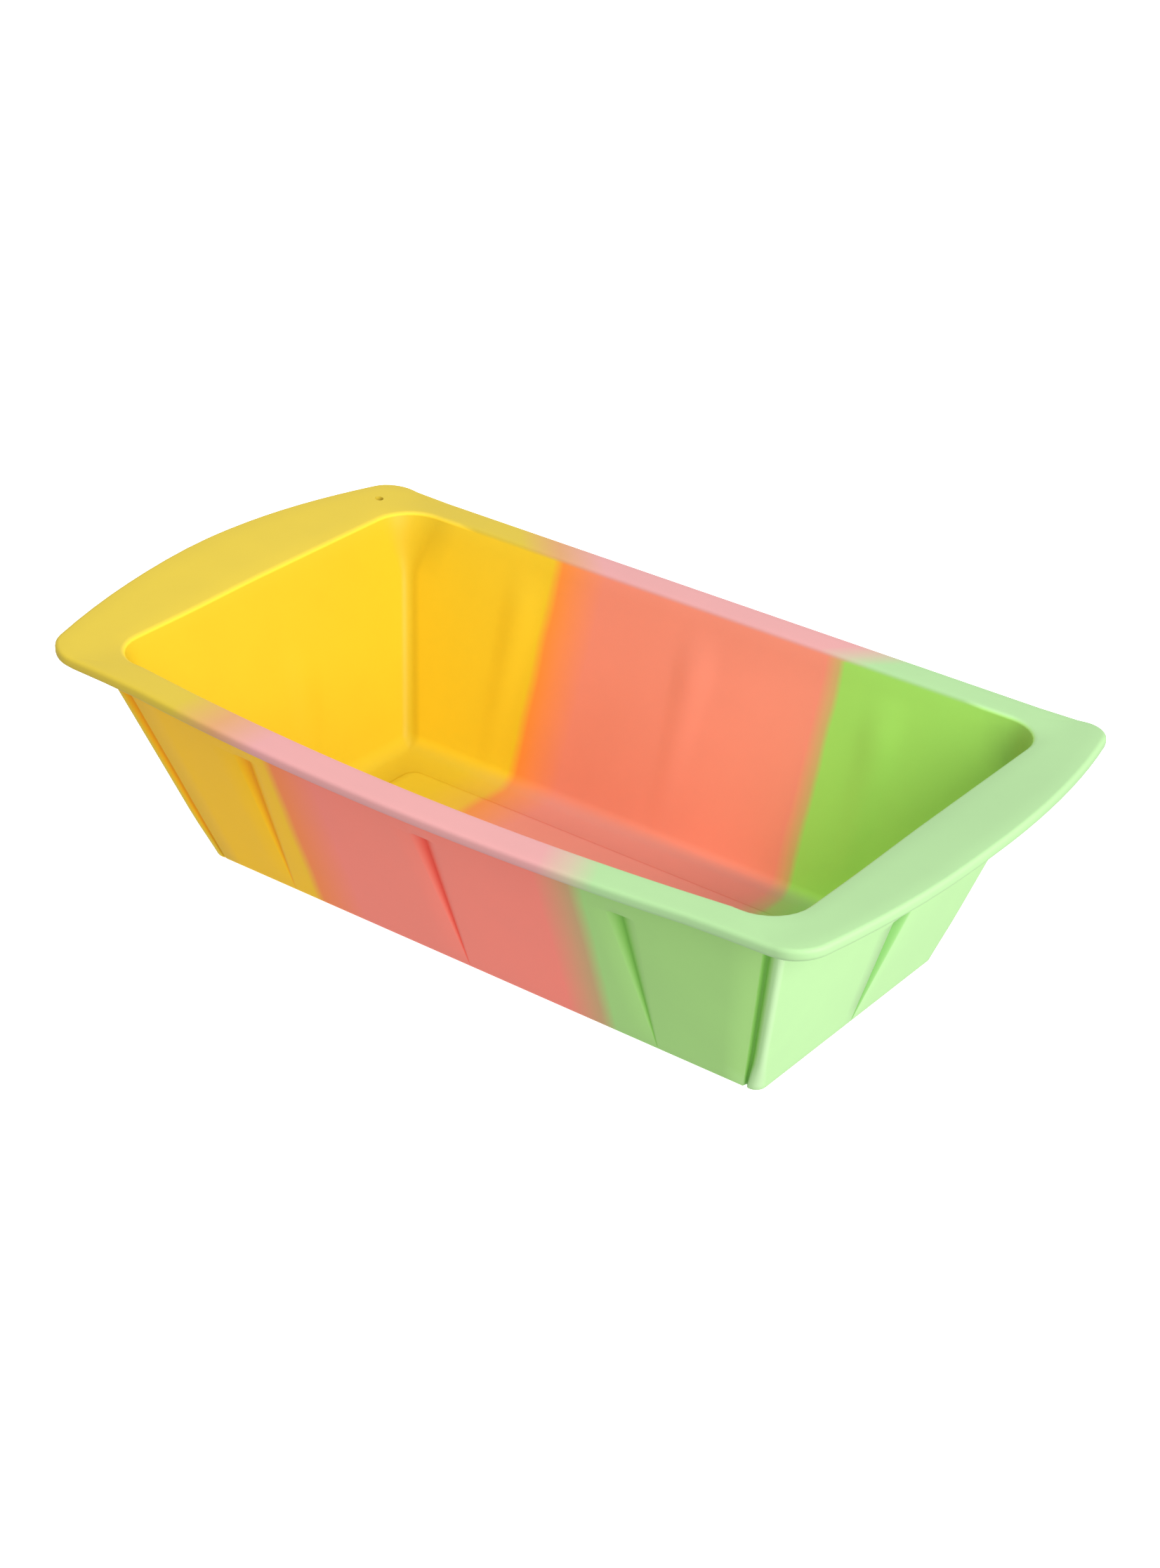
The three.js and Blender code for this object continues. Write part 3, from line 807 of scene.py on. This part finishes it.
# ================= operators =================
class LOAFMOULD_OT_press(bpy.types.Operator):
    """Presses one charge of silicone into its part of the tray"""

    bl_idname = "loafmould.press"
    bl_label = "Press a charge"
    charge: EnumProperty(name="Charge", items=[(name, name, name) for name in PIECES])

    def execute(self, context):
        settings = context.scene.loafmould
        builder = Builder(Skin(settings.sizes))
        piece = builder.piece(f"{self.charge}_silicone", *SPANS[self.charge])
        if self.charge == "yellow_end":
            self.pierce(piece, settings.sizes)
        piece.data.materials.append(moulded_silicone(f"moulded_{PIECES[self.charge]}", settings.tones))
        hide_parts(self.charge)
        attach(piece, "root")
        return {"FINISHED"}

    def pierce(self, piece, sizes):
        """Cuts the hole that a moulding pin leaves."""
        bm = bmesh.new()
        middle = sizes.rim_height
        reach = 3 * sizes.rim_thickness
        rings = []
        for z in (middle - reach, middle + reach):
            ring = []
            for step in range(PIN_STEPS):
                angle = step / PIN_STEPS * 2 * math.pi
                place = (math.cos(angle) * sizes.pin_radius, math.sin(angle) * sizes.pin_radius, z)
                ring.append(bm.verts.new(PIN + Vector(place)))
            rings.append(ring)
        low, high = rings
        for step in range(PIN_STEPS):
            after = (step + 1) % PIN_STEPS
            bm.faces.new((low[step], low[after], high[after], high[step]))
        bm.faces.new(low[::-1])
        bm.faces.new(high)
        mesh = bpy.data.meshes.new("pin")
        bm.to_mesh(mesh)
        bm.free()
        pin = bpy.data.objects.new("pin", mesh)
        bpy.context.scene.collection.objects.link(pin)
        cut = piece.modifiers.new("pin_hole", "BOOLEAN")
        cut.operation = "DIFFERENCE"
        cut.object = pin
        bpy.context.view_layer.update()
        evaluated = piece.evaluated_get(bpy.context.evaluated_depsgraph_get())
        piece.data = bpy.data.meshes.new_from_object(evaluated)
        piece.modifiers.clear()
        bpy.data.objects.remove(pin)
        self.dye_hole(piece.data, sizes.pin_radius)

    def dye_hole(self, mesh, radius):
        """Gives the hole's wall the handle's own yellow."""
        traits = dict(zip(TRAITS, (PIN.x - CUTS[0], PIN.x - CUTS[1], 1.0, 0.0, 0.0, 0.0)))
        for vertex in mesh.vertices:
            if math.hypot(vertex.co.x - PIN.x, vertex.co.y - PIN.y) < PIN_MARGIN * radius:
                for key, value in traits.items():
                    mesh.attributes[key].data[vertex.index].value = value


class LOAFMOULD_OT_stage(bpy.types.Operator):
    """Sets the white sweep, the soft lights and the camera"""

    bl_idname = "loafmould.stage"
    bl_label = "Set the stage"

    def execute(self, context):
        studio = context.scene.loafmould.studio
        self.sweep(context)
        self.lights(context, studio)
        self.camera(context)
        return {"FINISHED"}

    def sweep(self, context):
        """White paper lit to pure white, which throws none of its light on the tray."""
        mesh = bpy.data.meshes.new("sweep")
        ground = CAD_BOX[0].z - SWEEP_DROP
        reach = SWEEP_REACH
        corners = [(x * reach, y * reach, ground) for x, y in ((-1, -1), (1, -1), (1, 1), (-1, 1))]
        mesh.from_pydata(corners, [], [(0, 1, 2, 3)])
        sweep = bpy.data.objects.new("sweep", mesh)
        context.scene.collection.objects.link(sweep)
        paper = bpy.data.materials.new("white_sweep_paper")
        paper.use_nodes = True
        shader = paper.node_tree.nodes["Principled BSDF"]
        shader.inputs["Base Color"].default_value = (0.92, 0.92, 0.92, 1)
        shader.inputs["Roughness"].default_value = 0.9
        shader.inputs["Emission Color"].default_value = (1, 1, 1, 1)
        shader.inputs["Emission Strength"].default_value = 1.0
        mesh.materials.append(paper)
        sweep.visible_diffuse = False
        sweep.visible_glossy = False
        sweep.visible_transmission = False

    def lights(self, context, studio):
        """Even light all round, a broad key light past the green handle and a weak one overhead."""
        world = bpy.data.worlds.new("studio")
        world.use_nodes = True
        sky = world.node_tree.nodes["Background"]
        sky.inputs["Color"].default_value = (1, 1, 1, 1)
        sky.inputs["Strength"].default_value = studio.sky
        context.scene.world = world
        middle = (CAD_BOX[0] + CAD_BOX[1]) / 2
        for name, direction, power in (
            ("key_softbox", KEY_DIRECTION, studio.key_power),
            ("top_softbox", TOP_DIRECTION, studio.top_power),
        ):
            light = bpy.data.lights.new(name, "AREA")
            light.shape = "SQUARE"
            light.size = LAMP_SIZE
            light.energy = power
            lamp = bpy.data.objects.new(name, light)
            context.scene.collection.objects.link(lamp)
            away = direction.normalized()
            lamp.location = middle + away * LAMP_DISTANCE
            lamp.rotation_mode = "QUATERNION"
            lamp.rotation_quaternion = away.to_track_quat("Z", "Y")

    def camera(self, context):
        """A long lens above the bowed wall and a little past the green end."""
        level = math.cos(CAMERA_ELEVATION)
        back = Vector((
            math.sin(CAMERA_AZIMUTH) * level,
            -math.cos(CAMERA_AZIMUTH) * level,
            math.sin(CAMERA_ELEVATION),
        ))
        right = (-back).cross(Vector((0, 0, 1))).normalized()
        up = back.cross(right)
        turned = Matrix((
            right * math.cos(CAMERA_ROLL) + up * math.sin(CAMERA_ROLL),
            up * math.cos(CAMERA_ROLL) - right * math.sin(CAMERA_ROLL),
            back,
        )).transposed().to_4x4()
        data = bpy.data.cameras.new("camera")
        data.sensor_width = 36
        data.lens = CAMERA_LENS
        data.clip_start = 0.01
        camera = bpy.data.objects.new("camera", data)
        context.scene.collection.objects.link(camera)
        camera.matrix_world = Matrix.Translation(CAMERA_TARGET + back * CAMERA_DISTANCE) @ turned
        context.scene.camera = camera
        context.scene.view_settings.view_transform = "Standard"
        context.scene.view_settings.look = "None"


class LOAFMOULD_PT_panel(bpy.types.Panel):
    """The loaf mould's settings and steps"""

    bl_idname = "LOAFMOULD_PT_panel"
    bl_label = "Loaf mould"
    bl_space_type = "VIEW_3D"
    bl_region_type = "UI"
    bl_category = "Loaf mould"

    def draw(self, context):
        settings = context.scene.loafmould
        for group in (settings.sizes, settings.tones, settings.studio):
            box = self.layout.box()
            for key in group.bl_rna.properties.keys():
                if key not in ("rna_type", "name"):
                    box.prop(group, key)
        for name in PIECES:
            self.layout.operator(LOAFMOULD_OT_press.bl_idname, text=name).charge = name
        self.layout.operator(LOAFMOULD_OT_stage.bl_idname)


CLASSES = (
    LoafMouldSizes, LoafMouldTones, LoafMouldStudio, LoafMouldSettings,
    LOAFMOULD_OT_press, LOAFMOULD_OT_stage, LOAFMOULD_PT_panel,
)


def register():
    for each in CLASSES:
        bpy.utils.register_class(each)
    bpy.types.Scene.loafmould = PointerProperty(type=LoafMouldSettings)


def unregister():
    del bpy.types.Scene.loafmould
    for each in reversed(CLASSES):
        bpy.utils.unregister_class(each)


def main():
    register()
    bpy.ops.loafmould.stage()
    for name in PIECES:
        bpy.ops.loafmould.press(charge=name)


if __name__ == "__main__":
    main()
